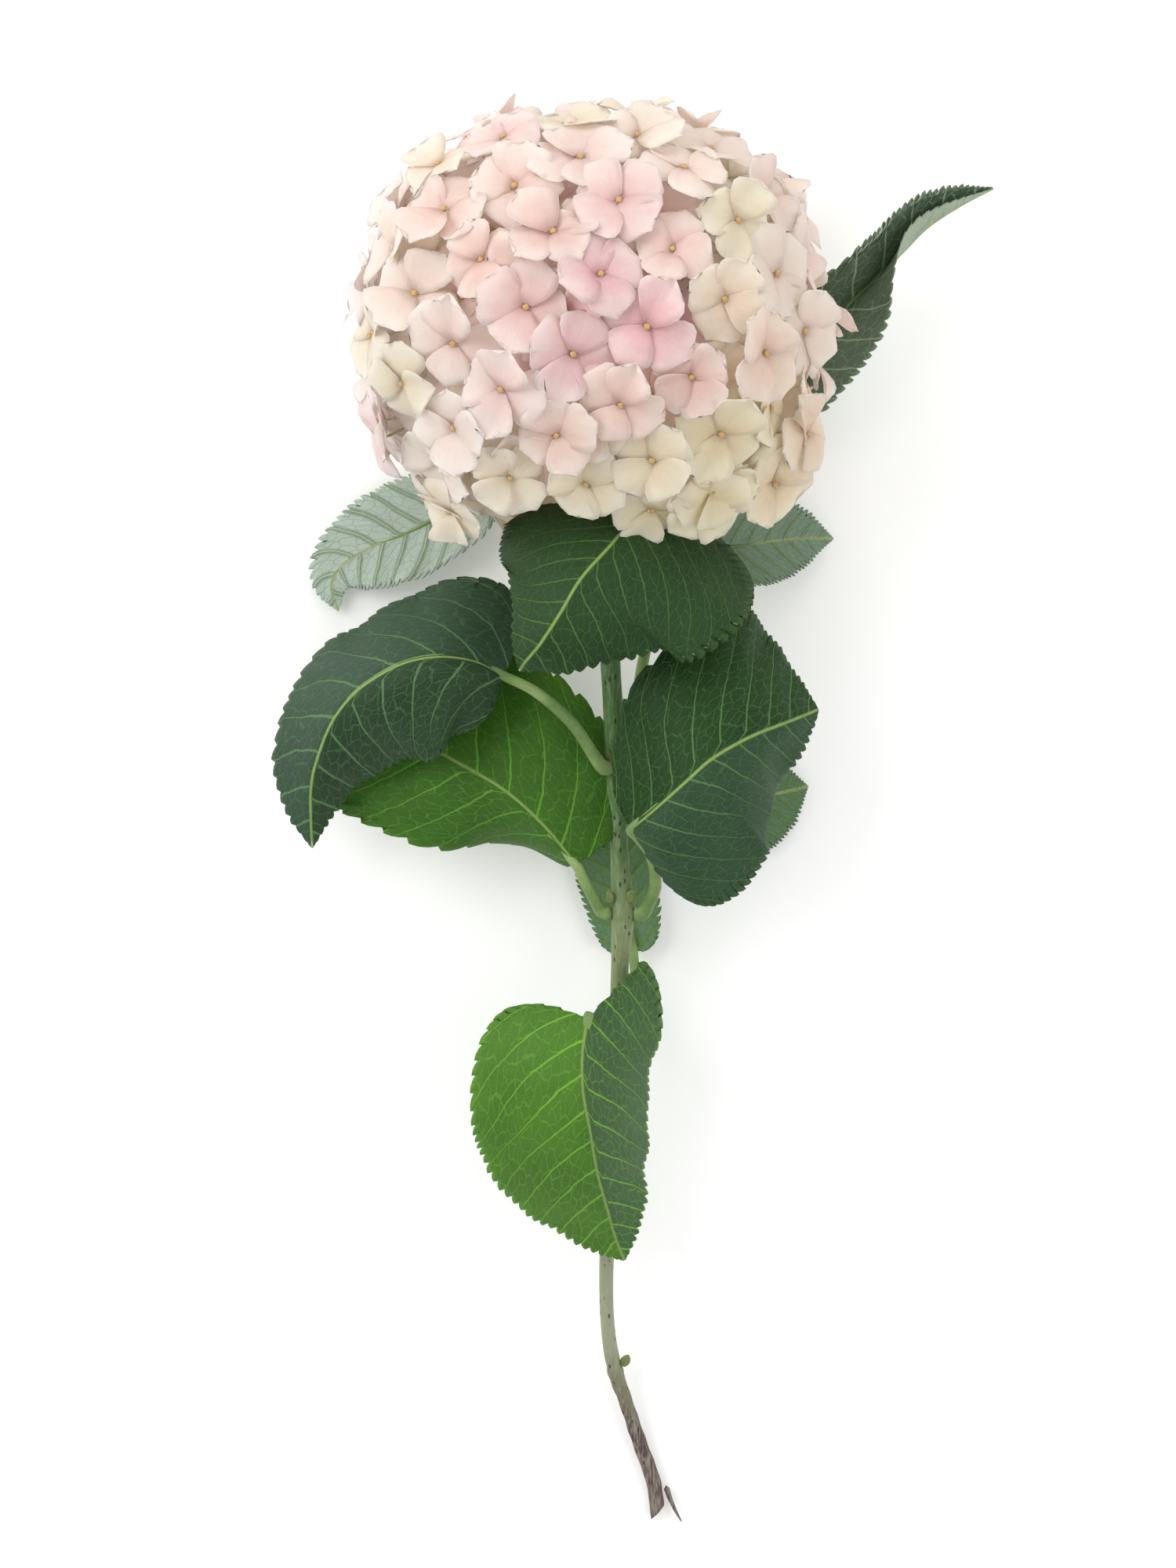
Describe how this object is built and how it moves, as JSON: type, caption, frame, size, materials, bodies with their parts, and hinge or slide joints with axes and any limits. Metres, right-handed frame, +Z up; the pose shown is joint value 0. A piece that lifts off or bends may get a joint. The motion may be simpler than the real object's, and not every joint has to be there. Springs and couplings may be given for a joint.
{
  "type": "cut hydrangea",
  "caption": "Cut hydrangea lying on its side: a round mophead bloom of four-lobed florets on a bent woody stem with drooping toothed leaves.",
  "frame": {"origin": "centre of the bounding box at the surface that the flower lies on", "axes": "+Y along the stem toward the bloom, the cut end at -Y; +Z up from the surface; +X to the right when seen from above with the bloom away from the viewer"},
  "size_m": [0.3074, 0.6076, 0.1721],
  "materials": {
    "cyme_01": "matt",
    "cyme_02": "matt",
    "cyme_03": "matt",
    "cyme_04": "matt",
    "cyme_05": "matt",
    "cyme_06": "matt",
    "cyme_07": "matt",
    "cyme_08": "matt",
    "cyme_09": "matt",
    "cyme_10": "matt",
    "cyme_11": "matt",
    "cyme_12": "matt",
    "cyme_13": "matt",
    "cyme_14": "matt",
    "cyme_15": "matt",
    "cyme_16": "matt",
    "cyme_17": "matt",
    "cyme_18": "matt",
    "cyme_19": "matt",
    "cyme_20": "matt",
    "cyme_21": "matt",
    "cyme_22": "matt",
    "cyme_23": "matt",
    "cyme_24": "matt",
    "cyme_25": "matt",
    "cyme_26": "matt",
    "cyme_27": "matt",
    "cyme_28": "matt",
    "cyme_29": "matt",
    "cyme_30": "matt",
    "cyme_31": "matt",
    "cyme_32": "matt",
    "cyme_33": "matt",
    "cyme_34": "matt",
    "cyme_35": "matt",
    "leaf_collar_front": "satin",
    "leaf_left_back": "satin",
    "leaf_left_lower": "satin",
    "leaf_left_upper": "satin",
    "leaf_low_back": "satin",
    "leaf_low_front": "satin",
    "leaf_mid_back": "satin",
    "leaf_right_back": "satin",
    "leaf_right_lower": "satin",
    "leaf_right_top": "satin",
    "ray_1": "matt",
    "ray_2": "matt",
    "ray_3": "matt",
    "ray_4": "matt",
    "ray_5": "matt",
    "ray_6": "matt",
    "ray_7": "matt",
    "stem": "matt"
  },
  "bodies": {
    "root": {"cyme_01": "cyme_01", "cyme_02": "cyme_02", "cyme_03": "cyme_03", "cyme_04": "cyme_04", "cyme_05": "cyme_05", "cyme_06": "cyme_06", "cyme_07": "cyme_07", "cyme_08": "cyme_08", "cyme_09": "cyme_09", "cyme_10": "cyme_10", "cyme_11": "cyme_11", "cyme_12": "cyme_12", "cyme_13": "cyme_13", "cyme_14": "cyme_14", "cyme_15": "cyme_15", "cyme_16": "cyme_16", "cyme_17": "cyme_17", "cyme_18": "cyme_18", "cyme_19": "cyme_19", "cyme_20": "cyme_20", "cyme_21": "cyme_21", "cyme_22": "cyme_22", "cyme_23": "cyme_23", "cyme_24": "cyme_24", "cyme_25": "cyme_25", "cyme_26": "cyme_26", "cyme_27": "cyme_27", "cyme_28": "cyme_28", "cyme_29": "cyme_29", "cyme_30": "cyme_30", "cyme_31": "cyme_31", "cyme_32": "cyme_32", "cyme_33": "cyme_33", "cyme_34": "cyme_34", "cyme_35": "cyme_35", "leaf_collar_front": "leaf_collar_front", "leaf_left_back": "leaf_left_back", "leaf_left_lower": "leaf_left_lower", "leaf_left_upper": "leaf_left_upper", "leaf_low_back": "leaf_low_back", "leaf_low_front": "leaf_low_front", "leaf_mid_back": "leaf_mid_back", "leaf_right_back": "leaf_right_back", "leaf_right_lower": "leaf_right_lower", "leaf_right_top": "leaf_right_top", "ray_1": "ray_1", "ray_2": "ray_2", "ray_3": "ray_3", "ray_4": "ray_4", "ray_5": "ray_5", "ray_6": "ray_6", "ray_7": "ray_7", "stem": "stem"}
  },
  "joints": []
}
